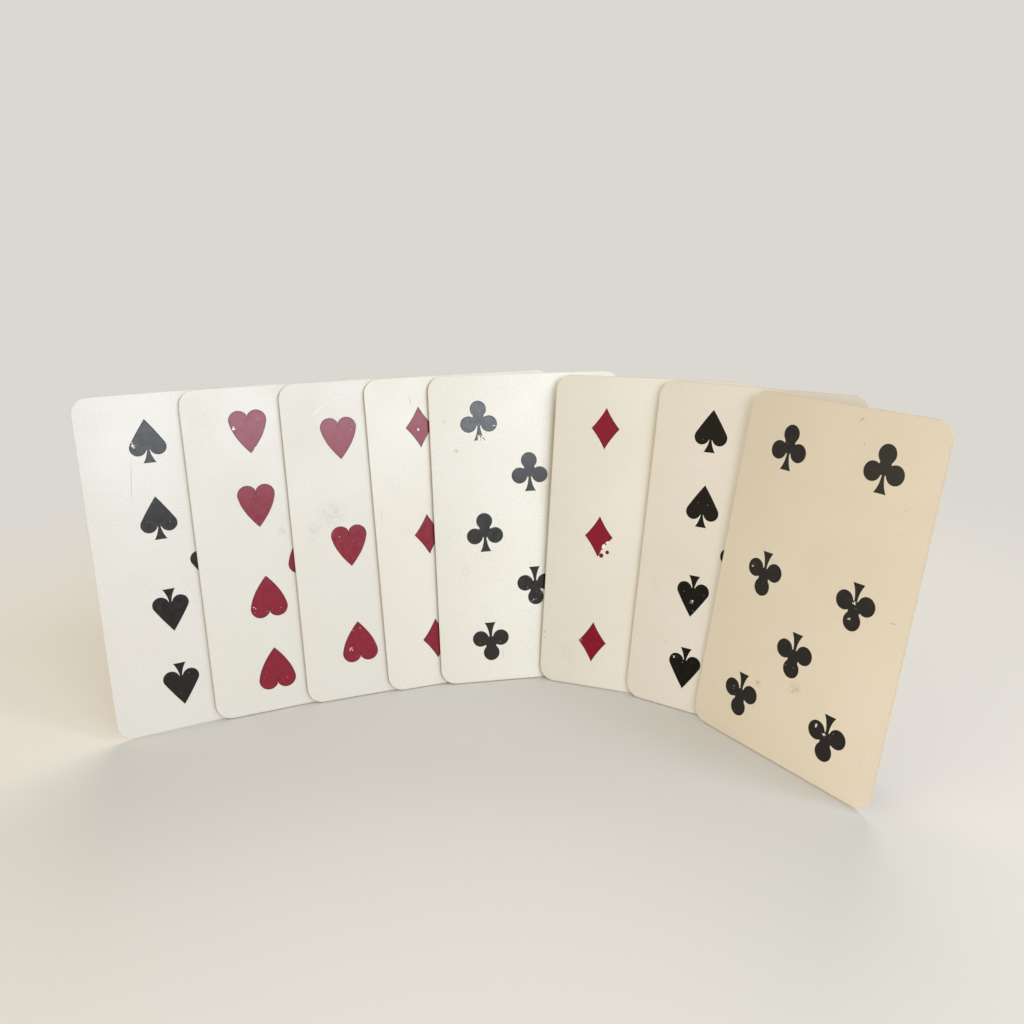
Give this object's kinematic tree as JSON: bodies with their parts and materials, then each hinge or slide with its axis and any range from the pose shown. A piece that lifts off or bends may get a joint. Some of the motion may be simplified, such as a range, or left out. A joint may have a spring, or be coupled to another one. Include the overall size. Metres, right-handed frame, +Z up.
{
  "type": "playing card deck",
  "caption": "Playing cards standing side by side in an overlapping curved row, each a rounded pasteboard card that lifts out of the row.",
  "frame": {"origin": "middle of the row's footprint, on the table plane", "axes": "+X to the right along the row, +Y away from the viewer, +Z up"},
  "size_m": [0.2066, 0.0976, 0.0895],
  "materials": {
    "face_paper": "glazed printed paper",
    "core_board": "pasted core",
    "back_paper": "glazed printed paper"
  },
  "bodies": {
    "left_nine_of_spades": {"left_nine_of_spades_face": "face_paper", "left_nine_of_spades_core": "core_board", "left_nine_of_spades_back": "back_paper"},
    "nine_of_hearts": {"nine_of_hearts_face": "face_paper", "nine_of_hearts_core": "core_board", "nine_of_hearts_back": "back_paper"},
    "six_of_hearts": {"six_of_hearts_face": "face_paper", "six_of_hearts_core": "core_board", "six_of_hearts_back": "back_paper"},
    "seven_of_diamonds": {"seven_of_diamonds_face": "face_paper", "seven_of_diamonds_core": "core_board", "seven_of_diamonds_back": "back_paper"},
    "eight_of_clubs": {"eight_of_clubs_face": "face_paper", "eight_of_clubs_core": "core_board", "eight_of_clubs_back": "back_paper"},
    "six_of_diamonds": {"six_of_diamonds_face": "face_paper", "six_of_diamonds_core": "core_board", "six_of_diamonds_back": "back_paper"},
    "right_nine_of_spades": {"right_nine_of_spades_face": "face_paper", "right_nine_of_spades_core": "core_board", "right_nine_of_spades_back": "back_paper"},
    "seven_of_clubs": {"seven_of_clubs_face": "face_paper", "seven_of_clubs_core": "core_board", "seven_of_clubs_back": "back_paper"}
  },
  "joints": [
    {"name": "nine_of_hearts_lift", "type": "slide", "parent": "left_nine_of_spades", "child": "nine_of_hearts", "axis": [-0.0741, 0.1665, 0.9833], "range_m": [0, 0.1]},
    {"name": "six_of_hearts_lift", "type": "slide", "parent": "left_nine_of_spades", "child": "six_of_hearts", "axis": [-0.0638, 0.1707, 0.9833], "range_m": [0, 0.1]},
    {"name": "seven_of_diamonds_lift", "type": "slide", "parent": "left_nine_of_spades", "child": "seven_of_diamonds", "axis": [-0.0608, 0.1718, 0.9833], "range_m": [0, 0.1]},
    {"name": "eight_of_clubs_lift", "type": "slide", "parent": "left_nine_of_spades", "child": "eight_of_clubs", "axis": [-0.0301, 0.1797, 0.9833], "range_m": [0, 0.1]},
    {"name": "six_of_diamonds_lift", "type": "slide", "parent": "left_nine_of_spades", "child": "six_of_diamonds", "axis": [0.0653, 0.1701, 0.9833], "range_m": [0, 0.1]},
    {"name": "right_nine_of_spades_lift", "type": "slide", "parent": "left_nine_of_spades", "child": "right_nine_of_spades", "axis": [0.1045, 0.1493, 0.9833], "range_m": [0, 0.1]},
    {"name": "seven_of_clubs_lift", "type": "slide", "parent": "left_nine_of_spades", "child": "seven_of_clubs", "axis": [0.1528, 0.0993, 0.9833], "range_m": [0, 0.1]}
  ]
}
